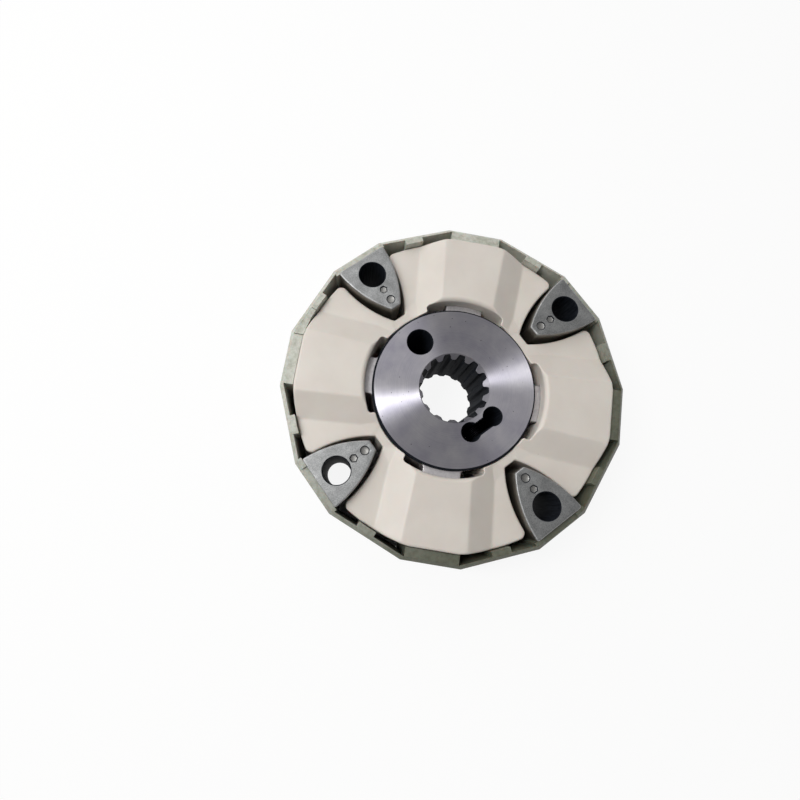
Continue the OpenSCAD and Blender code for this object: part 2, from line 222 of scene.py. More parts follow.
def white_paper(tree, place):
    """Lit paper, mixed with its own white where none of the coupling is above it, or a hole is."""
    folded = add(tree, "ShaderNodeVectorMath", {0: place}, operation="ABSOLUTE")
    away = add(tree, "ShaderNodeVectorMath", {0: folded}, out="Value", operation="LENGTH")
    white_here = add(tree, "ShaderNodeMath", {0: away, 1: covered_r}, operation="GREATER_THAN")
    for spot, reach in white_spots:
        away = add(tree, "ShaderNodeVectorMath", {0: folded, 1: spot}, out="Value", operation="DISTANCE")
        near = add(tree, "ShaderNodeMath", {0: away, 1: reach}, operation="LESS_THAN")
        white_here = add(tree, "ShaderNodeMath", {0: white_here, 1: near}, operation="MAXIMUM")
    share = add(tree, "ShaderNodeMath", {0: direct_sight(tree), 1: white_here}, operation="MULTIPLY")
    share = add(tree, "ShaderNodeMath", {0: share, 1: own_white}, operation="MULTIPLY")
    lit = add(tree, "ShaderNodeBsdfDiffuse", {"Color": colour("F4F4F2")})
    own = add(tree, "ShaderNodeEmission", {"Color": colour("FFFFFF"), "Strength": 1.0})
    return add(tree, "ShaderNodeMixShader", {0: share, 1: lit, 2: own})


table_mesh.materials.append(finish_of(white_paper))
bpy.context.scene.view_settings.view_transform = "Standard"
print("paper: own white", own_white, "beyond", round(covered_r / mm), "mm, and under the holes")

# %% [markdown]
# ## Moulded elastomer
# The element is a cream polyester elastomer from an injection mould. Moulding gives an even colour
# with faint flow clouds and a satin skin, a little light goes into it, and handling leaves dark
# specks. A flat colour would look like paint, so noise moves the tint by a shade, and a cell
# pattern puts one speck in each cell.


# %% The finish of the element
def moulded_elastomer(tree, place):
    """Flow clouds of 18 mm, specks of 0.7 mm some 15 mm apart, and a skin of 0.6 mm dimples, which
    are finer on the real one and are drawn as coarse as they need to show."""
    flow = add(tree, "ShaderNodeTexNoise", {"Vector": place, "Scale": 1 / (18 * mm), "Detail": 3.0})
    tint = add(tree, "ShaderNodeValToRGB", {"Fac": flow}, stops=((0.3, "D4CCC3"), (0.7, "DBD4CB")))
    speck = add(tree, "ShaderNodeTexVoronoi", {"Vector": place, "Scale": 1 / (15 * mm)})
    speck = add(tree, "ShaderNodeMapRange", {"Value": speck, "From Min": 0.7 / 15, "From Max": 0.4 / 15})
    tint = add(tree, "ShaderNodeMix", {0: speck, 6: tint, 7: colour("9A8D7F")}, **over_tint)
    skin_grain = add(tree, "ShaderNodeTexNoise", {"Vector": place, "Scale": 1 / (0.6 * mm)})
    return add(tree, "ShaderNodeBsdfPrincipled", {
        "Base Color": tint, "Roughness": 0.45, "IOR": 1.5,
        "Normal": add(tree, "ShaderNodeBump", {"Height": skin_grain, "Strength": 0.5, "Distance": 0.03 * mm}),
        "Subsurface Weight": 0.12, "Subsurface Scale": 1.5 * mm})


# %% [markdown]
# ## Die-cast aluminium
# The inserts are die-cast aluminium, tumbled clean. The die's worn skin leaves a matt grey grain.
# A colour ramp over the height paints a bright highlight on the rounded rim of the face, and paints
# shade lower down, on the walls and in the marks. The rim could be a piece of its own, but the
# height alone tells it apart, so the ramp does it.


# %% The finish of the inserts
def die_cast_aluminium(tree, place):
    """Grain of 0.45 mm, clouds of 7 mm, and a tint by height: painted shade that thins out from 42 mm
    up to a painted highlight on the rim at 47.5 mm, and the plain face at 48 mm."""
    grain = add(tree, "ShaderNodeTexNoise", {
        "Vector": place, "Scale": 1 / (0.45 * mm), "Detail": 3.0, "Roughness": 0.6})
    tint = add(tree, "ShaderNodeValToRGB", {"Fac": grain},
               stops=((0.3, "ABACAD"), (0.5, "C6C7C7"), (0.7, "E1E2E1")))
    cloud = add(tree, "ShaderNodeTexNoise", {"Vector": place, "Scale": 1 / (7 * mm), "Detail": 3.0})
    cloud = add(tree, "ShaderNodeValToRGB", {"Fac": cloud}, stops=((0.3, "D8D8D8"), (0.7, "FFFFFF")))
    up_here = add(tree, "ShaderNodeSeparateXYZ", {0: place}, out="Z")
    up_here = add(tree, "ShaderNodeMapRange", {"Value": up_here, "From Min": 42 * mm, "From Max": 48 * mm})
    # Painted shade low on the walls and in the marks, and a painted highlight on the rounded rim of the face
    shade_and_highlight = add(tree, "ShaderNodeValToRGB", {"Fac": up_here}, stops=(
        (0.0, "8F887E"), (0.7, "BDB8B0"), (0.92, "D0CECB"), (0.985, "FFFFFF"), (0.998, "CFCFCF")))
    for layer in (cloud, shade_and_highlight):
        tint = add(tree, "ShaderNodeMix", {0: 1.0, 6: tint, 7: layer}, **times_tint)
    return add(tree, "ShaderNodeBsdfPrincipled", {
        "Base Color": tint, "Metallic": 1.0, "Roughness": 0.52,
        "Normal": add(tree, "ShaderNodeBump", {"Height": grain, "Strength": 0.5, "Distance": 0.06 * mm})})


# %% [markdown]
# ## Turned steel
# The hub's faces are medium carbon steel, faced on a lathe. The tool's rings about the axis spread
# a highlight across them, which draws two bright fans. A picture of rings can't do that, because
# the rings are finer than a pixel, so the shader itself is made anisotropic: its wide direction is
# the radius, taken from Object coordinates and turned to the world. Storage leaves pinhead pits and
# faint violet clouds.


# %% The finish of the hub's faces
def turned_steel(tree, place):
    """Noise along the radius alone gives rings of 0.45 mm, coarser than the real ones so that they
    show. Clouds are 14 mm, and pits 0.3 mm some 4 mm apart."""
    across = add(tree, "ShaderNodeVectorMath", {0: place, 1: (1, 1, 0)}, operation="MULTIPLY")
    radius = add(tree, "ShaderNodeVectorMath", {0: across}, out="Value", operation="LENGTH")
    along_it = add(tree, "ShaderNodeCombineXYZ", {"X": radius})
    rings = add(tree, "ShaderNodeTexNoise", {
        "Vector": along_it, "Scale": 1 / (0.45 * mm), "Detail": 3.0, "Roughness": 0.7})
    tint = add(tree, "ShaderNodeValToRGB", {"Fac": rings}, stops=((0.3, "B0AEB3"), (0.7, "C7C5C9")))
    cloud = add(tree, "ShaderNodeTexNoise", {
        "Vector": place, "Scale": 1 / (14 * mm), "Detail": 4.0, "Roughness": 0.6})
    cloud = add(tree, "ShaderNodeValToRGB", {"Fac": cloud}, stops=((0.3, "DCDBE5"), (0.7, "FFFFFF")))
    tint = add(tree, "ShaderNodeMix", {0: 1.0, 6: tint, 7: cloud}, **times_tint)
    pit = add(tree, "ShaderNodeTexVoronoi", {"Vector": place, "Scale": 1 / (4 * mm)})
    pit = add(tree, "ShaderNodeMapRange", {"Value": pit, "From Min": 0.3 / 4, "From Max": 0.2 / 4})
    tint = add(tree, "ShaderNodeMix", {0: pit, 6: tint, 7: colour("5A585C")}, **over_tint)
    outwards = add(tree, "ShaderNodeVectorTransform", {0: across}, vector_type="VECTOR",
                   convert_from="OBJECT", convert_to="WORLD")
    return add(tree, "ShaderNodeBsdfPrincipled", {
        "Base Color": tint, "Metallic": 1.0, "Roughness": 0.38, "Anisotropic": 0.98,
        "Tangent": add(tree, "ShaderNodeVectorMath", {0: outwards}, operation="NORMALIZE"),
        "Normal": add(tree, "ShaderNodeBump", {"Height": rings, "Strength": 0.5, "Distance": 0.015 * mm})})


# %% [markdown]
# ## Milled steel and painted shade in the holes
# The hub's lugs are milled, and cutter marks that run every way shine evenly. The drilled and
# broached walls, the rim's bevel, and the bolt holes and mark rims of the inserts get a matt, nearly
# black painted shade. Both are plain shaders: all the work is in giving each skin the right one.


# %% The finishes of the lugs and of the holes
def milled_steel(tree, place):
    """Milled steel, lighter than the turned face, with marks of 1.2 mm."""
    marks = add(tree, "ShaderNodeTexNoise", {"Vector": place, "Scale": 1 / (1.2 * mm), "Detail": 3.0})
    tint = add(tree, "ShaderNodeValToRGB", {"Fac": marks}, stops=((0.3, "BCB9BB"), (0.7, "CECBCC")))
    return add(tree, "ShaderNodeBsdfPrincipled", {
        "Base Color": tint, "Metallic": 1.0, "Roughness": 0.5,
        "Normal": add(tree, "ShaderNodeBump", {"Height": marks, "Strength": 0.3, "Distance": 0.02 * mm})})


def phosphated_steel(tree, place):
    """Painted shade for holes and gaps: nearly black and matt, with 0.6 mm streaks drawn out along the hole.
    """
    along = add(tree, "ShaderNodeVectorMath", {0: place, 1: (1, 1, 0.06)}, operation="MULTIPLY")
    streaks = add(tree, "ShaderNodeTexNoise", {"Vector": along, "Scale": 1 / (0.6 * mm), "Detail": 3.0})
    tint = add(tree, "ShaderNodeValToRGB", {"Fac": streaks}, stops=((0.3, "0E1117"), (0.7, "24282F")))
    return add(tree, "ShaderNodeBsdfPrincipled", {
        "Base Color": tint, "Roughness": 0.7, "IOR": 1.3, "Specular IOR Level": 0.2})


# %% [markdown]
# ## Glass-filled nylon
# The ring is moulded from glass-filled nylon: natural grey-green, cloudy, slightly see-through
# where it is thin, and dull from its fibres. Painted shade darkens the side of the ring that lies
# towards -Y, away from the lamps, and a noise makes the border of that shade uneven.


# %% The finish of the ring
def glass_filled_nylon(tree, place):
    """Clouds of 12 mm, dirt of 2.2 mm that is strongest on the upper edge, fibre roughness of 0.8 mm,
    drawn coarser than real fibres, and painted shade that grows from +35 mm to -60 mm along Y."""
    cloud = add(tree, "ShaderNodeTexNoise", {
        "Vector": place, "Scale": 1 / (12 * mm), "Detail": 4.0, "Roughness": 0.6})
    tint = add(tree, "ShaderNodeValToRGB", {"Fac": cloud},
               stops=((0.3, "BABBB0"), (0.5, "C3C4BA"), (0.7, "CBCBC2")))
    blotch = add(tree, "ShaderNodeTexNoise", {"Vector": place, "Scale": 1 / (16 * mm), "Detail": 3.0})
    blotch = add(tree, "ShaderNodeMath", {0: blotch, 1: 40 * mm, 2: -20 * mm}, operation="MULTIPLY_ADD")
    side = add(tree, "ShaderNodeSeparateXYZ", {0: place}, out="Y")
    side = add(tree, "ShaderNodeMath", {0: side, 1: blotch})
    # Painted shade: the ring darkens towards -Y, the side away from the lamps
    far_side_shade = add(tree, "ShaderNodeMapRange", {"Value": side, "From Min": 35 * mm, "From Max": -60 * mm})
    far_side_shade = add(tree, "ShaderNodeValToRGB", {"Fac": far_side_shade}, stops=((0.0, "FFFFFF"), (1.0, "888A7E")))
    upper = add(tree, "ShaderNodeSeparateXYZ", {0: place}, out="Z")
    upper = add(tree, "ShaderNodeMapRange", {
        "Value": upper, "From Min": 42 * mm, "From Max": 45 * mm, "To Min": 0.3})
    dirt = add(tree, "ShaderNodeTexNoise", {
        "Vector": place, "Scale": 1 / (2.2 * mm), "Detail": 5.0, "Roughness": 0.7})
    dirt = add(tree, "ShaderNodeValToRGB", {"Fac": dirt}, stops=((0.3, "D3D2C8"), (0.58, "FFFFFF")))
    for amount, layer in ((1.0, far_side_shade), (upper, dirt)):
        tint = add(tree, "ShaderNodeMix", {0: amount, 6: tint, 7: layer}, **times_tint)
    fibres = add(tree, "ShaderNodeTexNoise", {"Vector": place, "Scale": 1 / (0.8 * mm), "Detail": 3.0})
    return add(tree, "ShaderNodeBsdfPrincipled", {
        "Base Color": tint, "Roughness": 0.42, "IOR": 1.53,
        "Normal": add(tree, "ShaderNodeBump", {"Height": fibres, "Strength": 0.5, "Distance": 0.08 * mm}),
        "Subsurface Weight": 0.2, "Subsurface Scale": 2 * mm})


# %% [markdown]
# ## Blackened steel
# The set screw is hardened alloy steel with a black oxide skin, slightly oily, and worn a little
# lighter in places. Black oxide is thin, so it stays a metal with a very dark colour.


# %% The finish of the screw
def blackened_steel(tree, place):
    """Black oxide with wear clouds of 1.5 mm."""
    wear = add(tree, "ShaderNodeTexNoise", {"Vector": place, "Scale": 1 / (1.5 * mm), "Detail": 3.0})
    tint = add(tree, "ShaderNodeValToRGB", {"Fac": wear}, stops=((0.35, "1E1E21"), (0.75, "37363B")))
    return add(tree, "ShaderNodeBsdfPrincipled", {"Base Color": tint, "Metallic": 1.0, "Roughness": 0.45})


# %% Which node takes which finish, and which body it rides on
finishes = {
    "moulded_elastomer": finish_of(moulded_elastomer),
    "cast_aluminium": finish_of(die_cast_aluminium),
    "ground_steel": finish_of(turned_steel),
    "moulded_nylon": finish_of(glass_filled_nylon),
    "blackened_steel": finish_of(blackened_steel),
}
# The second finish is the near-black painted shade of holes, gaps and mark rims
painted_shade_finish, milled_finish = finish_of(phosphated_steel), finish_of(milled_steel)
slot_of = {part["node"]: part["material_slot"] for part in frame["record"]["subparts"]}
body_of = {name: body for body, names in frame["record"]["behaviour"]["bodies"].items() for name in names}
print("slots:", slot_of)

# %% [markdown]
# ## Outlines
# Seen from above, every piece has an outline of arcs with straight sides between them, which is how
# a draughtsman draws it. It could be a curve object with a bevel, but in numpy moving an outline
# inwards only changes its arcs' radii, so bevels and rounded edges come out exact.


# %% Outlines from arcs
def heading(turn):
    """Unit vectors in plan at these angles, in radians."""
    return np.stack((np.cos(turn), np.sin(turn)), -1)


def arcs(*rows):
    """A closed outline as arrays of centres, signed radii and normal angles, in mm and radians.
    A row is (centre x, centre y, radius, first angle, last angle, steps), with angles in degrees.
    A point is centre + radius * normal. The normal points out of the solid, so an inside corner
    has a negative radius. Straight sides join the arcs, and points that repeat are left out."""
    parts = [(np.tile((x, y), (n + 1, 1)), np.full(n + 1, r), np.radians(np.linspace(a, b, n + 1)))
             for x, y, r, a, b, n in rows]
    centre, radius, angle = (np.concatenate(column) for column in zip(*parts))
    points = centre + radius[:, None] * heading(angle)
    fresh = np.linalg.norm(points - np.roll(points, 1, axis=0), axis=1) > 1e-6
    return centre[fresh], radius[fresh], angle[fresh]


def turned(rows, degrees):
    """The same rows of arcs, turned about the axis."""
    c, s = math.cos(math.radians(degrees)), math.sin(math.radians(degrees))
    return [(c * x - s * y, s * x + c * y, r, a + degrees, b + degrees, n) for x, y, r, a, b, n in rows]


def mirrored(rows):
    """The same rows of arcs on the other side of the X axis, in the order that carries the outline on."""
    return [(x, -y, r, -b, -a, n) for x, y, r, a, b, n in reversed(rows)]


def four_times(rows, first=0):
    """The same rows of arcs at four quarter turns about the axis, from a first one in degrees."""
    return [row for k in range(4) for row in turned(rows, first + 90 * k)]


def inset(outline, depth=0.0):
    """Points of the outline moved into the solid: centre + (radius - depth) * normal."""
    centre, radius, angle = outline
    reach = radius - depth
    return centre + reach[..., None] * heading(angle)


def even_turns(points, kept):
    """Angle of each plan point about the axis. A point that isn't kept gets an angle between those of
    its kept neighbours instead, in even steps."""
    turn = np.unwrap(np.arctan2(points[:, 1], points[:, 0]))
    order = np.flatnonzero(kept)
    places = np.concatenate((order[-1:] - len(points), order, order[:1] + len(points)))
    turns = np.concatenate((turn[order[-1:]] - 2 * np.pi, turn[order], turn[order[:1]] + 2 * np.pi))
    return np.interp(np.arange(len(points)), places, turns)


sample = inset(arcs((0, 0, 10.0, 0, 180, 4)), 1.0)
print("a half circle of 10 mm, moved in by 1 mm, has the radii", np.hypot(*sample.T).round(6))

# %% [markdown]
# ## Skins
# A skin is a grid of points: an outline is carried up through a profile of insets and heights, one
# row of points for each place in the profile, and quads join the rows. A flat face between outlines
# is a plate of triangles. Extruding and bevelling solids could give the same forms, but a grid says
# for every point where it is and why, and it has clean quads from the start.


# %% Profiles, skins and plates
def rise(flat, height):
    """Plan points with a height, or an array of heights, as points in space."""
    return np.concatenate((flat, np.broadcast_to(height, flat.shape[:-1])[..., None]), -1)


def carry(outline, profile):
    """One row of points for each (inset, height) of the profile."""
    return np.stack([rise(inset(outline, d), z) for d, z in profile])


def round_over(radius, top, steps=4):
    """Quarter round from a wall to a top: insets r(1 - cos t), heights top - r(1 - sin t)."""
    t = np.linspace(0, np.pi / 2, steps + 1)
    return np.stack((radius * (1 - np.cos(t)), top - radius * (1 - np.sin(t))), -1)


def round_under(radius, bottom, steps=4):
    """Quarter round from a bottom to a wall: insets r(1 - sin t), heights bottom + r(1 - cos t)."""
    t = np.linspace(0, np.pi / 2, steps + 1)
    return np.stack((radius * (1 - np.sin(t)), bottom + radius * (1 - np.cos(t))), -1)


def skin(rows):
    """Quads of a grid of points that closes round its columns."""
    count = rows.shape[0] * rows.shape[1]
    k = np.arange(count).reshape(rows.shape[:2])
    following = np.roll(k, -1, axis=1)
    quads = np.stack((k[:-1], following[:-1], following[1:], k[1:]), -1).reshape(-1, 4)
    return rows.reshape(-1, 3), quads.tolist()


def plate(height, *loops):
    """A flat face between an outer loop of points and the loops of its holes, seen in plan."""
    flat = [rise(loop[:, :2], height) for loop in loops]
    triangles = tessellate_polygon([loop.tolist() for loop in flat])
    return np.concatenate(flat), [list(t) for t in triangles]


quarter = round_over(2.0, 10.0)
print("a rounded edge of 2 mm below 10 mm:", quarter.round(2).tolist())


# %% Which finish a skin takes
def bored(made):
    """A skin that takes the near-black painted shade of a hole's wall, the second finish of its piece."""
    return (*made, 1)


def milled(made):
    """A skin that takes the finish of milled steel, the third of its piece."""
    return (*made, 2)


def parted(made, chosen):
    """Two skins from one: the faces whose points are all chosen, and the rest in the near-black painted
    shade.
    """
    points, faces = made
    faces = np.array(faces)
    picked = chosen.ravel()[faces].all(axis=1)
    return (points, faces[picked].tolist()), bored((points, faces[~picked].tolist()))


# %% [markdown]
# ## Pieces
# Where skins meet they share points, so merging those closes the mesh, and its normals are then
# turned outwards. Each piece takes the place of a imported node, rides on its body, and is shaded
# smooth except across sharp edges. A subdivision surface would soften every edge alike, so the
# roundings are modelled instead.


# %% One closed mesh from its skins
sharp_turn = math.radians(34)


def close(mesh, merge=0.004, shortest=0.001):
    """Merges the points where skins meet, turns the normals outwards, and measures the solid."""
    form = bmesh.new()
    form.from_mesh(mesh)
    bmesh.ops.remove_doubles(form, verts=form.verts, dist=merge * mm)
    bmesh.ops.dissolve_degenerate(form, edges=form.edges, dist=shortest * mm)
    bmesh.ops.recalc_face_normals(form, faces=form.faces)
    if form.calc_volume(signed=True) < 0:
        bmesh.ops.reverse_faces(form, faces=form.faces)
    open_edges = sum(not edge.is_manifold for edge in form.edges)
    volume = form.calc_volume() / mm ** 3 / 1000
    form.to_mesh(mesh)
    form.free()
    return f"{volume:.1f} cm3, open edges {open_edges}"


def piece_of(name, node, *skins, place=None):
    """One closed mesh from its skins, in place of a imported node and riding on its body."""
    starts = np.cumsum([0] + [len(made[0]) for made in skins])
    points = np.concatenate([made[0] for made in skins]) * mm
    faces = [face for start, made in zip(starts, skins) for face in (np.array(made[1]) + start).tolist()]
    mesh = bpy.data.meshes.new(name)
    mesh.from_pydata(points.tolist(), [], faces)
    counts = [len(made[1]) for made in skins]
    finish = np.repeat([made[2] if len(made) > 2 else 0 for made in skins], counts)
    mesh.polygons.foreach_set("material_index", finish.astype(np.int32))
    note = close(mesh)
    if place is not None:
        mesh.transform(place)
    return dress(name, node, mesh, note)


def dress(name, node, mesh, note):
    """Gives a finished mesh its object, finish, smooth shading and body."""
    mesh.shade_smooth()
    mesh.set_sharp_from_angle(angle=sharp_turn)
    used = max(face.material_index for face in mesh.polygons) + 1
    for finish in (finishes[slot_of[node]], painted_shade_finish, milled_finish)[:used]:
        mesh.materials.append(finish)
    piece = bpy.data.objects.new(name, mesh)
    bpy.context.scene.collection.objects.link(piece)
    piece.modifiers.new("even_shading", "WEIGHTED_NORMAL").keep_sharp = True
    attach(piece, body_of[node])
    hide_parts(node)
    print(f"{name}: {len(mesh.vertices)} points, {len(mesh.polygons)} faces, {note}")
    return piece


# %% [markdown]
# ## The cast inserts
# Each insert is a block of die-cast aluminium with two curved flanks, a blunt tip and a straight
# outer edge. The die leaves a small round all along the face, and its ejector pins leave two marks:
# a bowl near the tip, and a six-sided dent beside the bolt hole. They could be cut out of a block,
# but here one outline is carried up through a profile, and the face is a plate with three holes
# that the walls of the bolt hole and of the marks fit exactly.

# %% Sizes of an insert, in mm
height = 48.0
bolt_at, bolt_r = 75.0, 7.0
tip_x, edge_x = 52.9, 85.8
tip_w, edge_w, flank_r = 5.6, 29.0, 60.0

run = np.array((edge_x - tip_x, (edge_w - tip_w) / 2))
chord = np.hypot(*run)
sagitta = math.sqrt(flank_r ** 2 - chord ** 2 / 4)
flank_x = (edge_x + tip_x) / 2 + sagitta * run[1] / chord
flank_y = (edge_w + tip_w) / 4 - sagitta * run[0] / chord
print("the flanks are arcs about", round(flank_x, 2), "and", round(flank_y, 2), "mm")


# %% Outline of an insert
def insert_outline(edge_round=1.3, tip_round=1.1, steps=6):
    """Two flank arcs whose rounded corners touch the outer edge and the tip: a corner's centre lies
    one corner radius inside both."""
    def corner_y(x, r):
        return flank_y + math.sqrt((flank_r - r) ** 2 - (x - flank_x) ** 2)
    ex, tx = edge_x - edge_round, tip_x + tip_round
    ey, ty = corner_y(ex, edge_round), corner_y(tx, tip_round)
    e_turn = math.degrees(math.atan2(ey - flank_y, ex - flank_x))
    t_turn = math.degrees(math.atan2(ty - flank_y, tx - flank_x))
    upper = [(ex, ey, edge_round, 0, e_turn, steps), (flank_x, flank_y, flank_r, e_turn, t_turn, 36),
             (tx, ty, tip_round, t_turn, 180, steps)]
    return arcs(*upper, *mirrored(upper))


outline = insert_outline()
print("outline:", len(outline[1]), "points,", np.ptp(inset(outline), axis=0).round(2), "mm")


# %% Rows round a hole or a mark
def round_rows(x, y, radii, heights, count=48):
    """Rows round the point (x, y). A radius is a number, or an array with one radius for each angle."""
    turn = np.linspace(0, 2 * np.pi, count, endpoint=False)
    radii = np.stack([np.broadcast_to(r, turn.shape) for r in radii])
    flat = np.array((x, y)) + radii[..., None] * heading(turn)
    return rise(flat, np.array(heights, float)[:, None])


def polygon_radius(sides, across_flats, count=48):
    """Radius of a regular polygon at each angle: half its width over the cosine of the angle from the
    middle of the nearest flat."""
    turn = np.linspace(0, 2 * np.pi, count, endpoint=False)
    part = 2 * np.pi / sides
    return across_flats / 2 / np.cos((turn + part / 2) % part - part / 2)


print("a hexagon of 6 mm reaches", polygon_radius(6, 6.0).max().round(2), "mm")

# %% The four inserts
foot_round, face_round, hole_round = 0.5, 0.75, 0.45
# The dent's rows, from its lip to its floor, by how much they are wider and deeper
dent_at, dent_w, dent_wider, dent_deep = bolt_at - 10.4, 3.7, (0.15, 0, -0.35, -0.6), (0, 0.1, 0.5, 0.6)
bowl_at, bowl_r, bowl_lip, lip_deep, bowl_deep = bolt_at - 17.1, 2.2, 0.2, 0.1, 0.7

wall = carry(outline, np.concatenate((round_under(foot_round, 0), round_over(face_round, height))))
t = np.linspace(0, np.pi / 2, 4)
rim_r = bolt_r + hole_round * (1 - np.sin(t))
hole = round_rows(bolt_at, 0, [*rim_r, *rim_r[::-1]],
                  [*(height - hole_round * (1 - np.cos(t))), *(hole_round * (1 - np.cos(t[::-1])))])
flat = polygon_radius(6, dent_w)
dent = round_rows(dent_at, 0, [*(flat + wider for wider in dent_wider), 0],
                  height - np.array((*dent_deep, dent_deep[-1])))
t = np.linspace(0, np.pi / 2, 8)
bowl = round_rows(bowl_at, 0, [bowl_r + bowl_lip, *(bowl_r * np.cos(t))],
                  height - np.array((0, *(lip_deep + bowl_deep * np.sin(t)))))
face = plate(height, wall[-1], hole[0], dent[0], bowl[0])
floor_face = plate(0.0, wall[0], hole[-1])
# The bolt hole's wall and the rims of both marks take the near-black painted shade
for k in range(4):
    piece_of(f"cast_insert_{k + 1}", f"insert_{k + 1}", skin(wall), bored(skin(hole)),
             bored(skin(dent[:3])), skin(dent[2:]), bored(skin(bowl[:4])), skin(bowl[3:]),
             face, floor_face, place=Matrix.Rotation(k * math.pi / 2, 4, "Z"))

# %% [markdown]
# ## The hub
# The hub is one turned steel disc with four milled lugs, a broached spline, a drilled hole and the
# clamping slot. Adding lugs to a disc would leave seams, so one grid holds both: from the bottom up
# its outer skin steps from the disc out to the lugs and back. On a lug the disc's point lies on the
# rim, and elsewhere the two are one. Only the radial screw hole crosses the others, so it is drilled
# last, as it is on the real hub.

# %% Sizes of the hub, in mm
hub_r, hub_height = 43.5, 43.8
lug_half, lug_reach, lug_low, lug_top, lug_round = 10.0, 70.0, 1.0, 40.2, 4.0
teeth, pitch_r, tip_r, root_r, pressure = 14, 17.5, 16.5, 18.4, math.radians(30)
tooth_round = 0.12
bore_bevel_r, bore_bevel_depth = 18.9, 4.0
puller_at, puller_r = 30.6, 6.9
slot_r, slot_end, slot_turn, slot_y, slot_half = 5.0, 24.8, math.radians(16.9), 24.6, 3.1
screw_z, screw_hole_r = hub_height / 2, 6.05
print("spline: module", 2 * pitch_r / teeth, "mm, depth", round(root_r - tip_r, 2), "mm")


# %% Outline of the disc and its lugs
def hub_loops(root_fillet=2.0):
    """The outline of the disc with its lugs, the disc's rim with as many points, and which points
    the two share. A lug point's partner is on the rim, at an angle that runs evenly across the
    lug's root."""
    y = lug_half + root_fillet
    fillet_x = math.sqrt((hub_r + root_fillet) ** 2 - y ** 2)
    root_turn = math.degrees(math.atan2(y, fillet_x))
    half_lug = [(lug_reach - lug_round, lug_half - lug_round, lug_round, 0, 90, 8),
                (fillet_x, y, -root_fillet, 90, root_turn, 6)]
    rim = [(0, 0, hub_r, root_turn, 90 - root_turn, 30)]
    outline = arcs(*four_times([*mirrored(half_lug), *half_lug, *rim], 45))
    points = inset(outline)
    on_rim = np.abs(np.hypot(*points.T) - hub_r) < 1e-6
    disc = (np.zeros_like(outline[0]), np.full(len(points), hub_r), even_turns(points, on_rim))
    return outline, disc, on_rim


outline, disc, on_rim = hub_loops()
print("outline:", len(on_rim), "points,", on_rim.sum(), "of them on the rim")


# %% Rows of the splined bore
def spline_rows():
    """Rows of the splined bore from the top face down, and which points lie on an end bevel. A tooth
    space is widest at the root: its half angle at radius r is 90/teeth + inv(pressure) -
    inv(acos(base / r)). The end bevels cut it off at the radius of their cone."""
    def inv(a):
        return np.tan(a) - a
    r = np.linspace(tip_r, root_r, 7)
    half = np.pi / 2 / teeth + inv(pressure) - inv(np.arccos(pitch_r * math.cos(pressure) / r))
    r[0] += tooth_round
    r[-1] -= tooth_round
    root_turn = np.linspace(-half[-1], half[-1], 7)[1:-1]
    tip_turn = np.linspace(half[0], 2 * np.pi / teeth - half[0], 7)[1:-1]
    one_turn = np.concatenate((-half, root_turn, half[::-1], tip_turn))
    one_r = np.concatenate((r, np.full(5, root_r), r[::-1], np.full(5, tip_r)))
    turn = (one_turn[None] + 2 * np.pi / teeth * np.arange(teeth)[:, None]).ravel() + np.pi / 2
    radius = np.tile(one_r, teeth)
    depth = np.concatenate((np.linspace(0, bore_bevel_depth, 15),
                            np.linspace(bore_bevel_depth + 1, hub_height / 2, 4)))
    cone = bore_bevel_r - (bore_bevel_r - tip_r) * np.minimum(depth / bore_bevel_depth, 1)
    reach = np.maximum(radius[None], cone[:, None])
    reach[depth > bore_bevel_depth] = radius
    bevel = (reach < cone[:, None] + 1e-6) & (depth <= bore_bevel_depth)[:, None]
    flat = reach[..., None] * heading(turn)
    upper = rise(flat, (hub_height - depth)[:, None])
    lower = rise(flat[::-1], depth[::-1, None])
    return np.concatenate((upper, lower[1:])), np.concatenate((bevel, bevel[-2::-1]))


bore, on_bevel = spline_rows()
print("bore:", bore.shape[0], "rows of", bore.shape[1], "points")


# %% The clamping slot
def slot_loop(grow=0.0):
    """The clamping slot, let out all round: two arcs that end where the straight cut meets them."""
    r, half_w = slot_r + grow, slot_half + grow
    x, y = slot_end * math.sin(slot_turn), -slot_end * math.cos(slot_turn)
    up, down = -slot_y + half_w - y, -slot_y - half_w - y
    a0 = -math.pi - math.asin(down / r)
    a1 = math.pi - math.asin(up / r)
    turn = np.linspace(a0, a1, 33)
    right = np.array((x, y)) + r * heading(turn)
    left = right[::-1] * (-1, 1)
    return np.concatenate((right, left))


print("the slot is", np.ptp(slot_loop()[:, 0]).round(2), "mm long")

# %% The hub with its lugs
lug_edge, hole_edge = 0.5, 0.35
foot_bevel = [(1.0, 0), (0.9, 0.02), (0.05, 0.9), (0, 1.0)]
rim_bevel = [(0, 1.05), (0.06, 0.93), (0.93, 0.06), (1.05, 0)]

lugs = carry(outline, np.concatenate((round_under(lug_edge, lug_low, 3),
                                      round_over(lug_edge, lug_top, 3))))
lugs[..., :2] = np.where(on_rim[:, None], inset(disc), lugs[..., :2])
rim_rows = carry(disc, [(0, lug_top), *((depth, hub_height - drop) for depth, drop in rim_bevel)])
outer = np.concatenate((carry(disc, foot_bevel), lugs, rim_rows))
hole_rows = ((hole_edge, hub_height), (0, hub_height - hole_edge), (0, hole_edge), (hole_edge, 0))
grown, hole_z = np.transpose(hole_rows)
puller = round_rows(0, puller_at, puller_r + grown, hole_z, 64)
slot = np.stack([rise(slot_loop(grow), z) for grow, z in hole_rows])
face = plate(hub_height, outer[-1], bore[0], puller[0], slot[0])
floor_face = plate(0.0, outer[0], bore[-1], puller[-1], slot[-1])
# The rim's wall above the lugs and its bevel, the bore, the puller hole and the slot take the near-black
# painted shade; the bore's end bevels stay turned steel
hub = piece_of("splined_hub", "hub", milled(skin(outer[:-4])), bored(skin(outer[-5:])),
               *parted(skin(bore), on_bevel), bored(skin(puller)), bored(skin(slot)), face, floor_face)

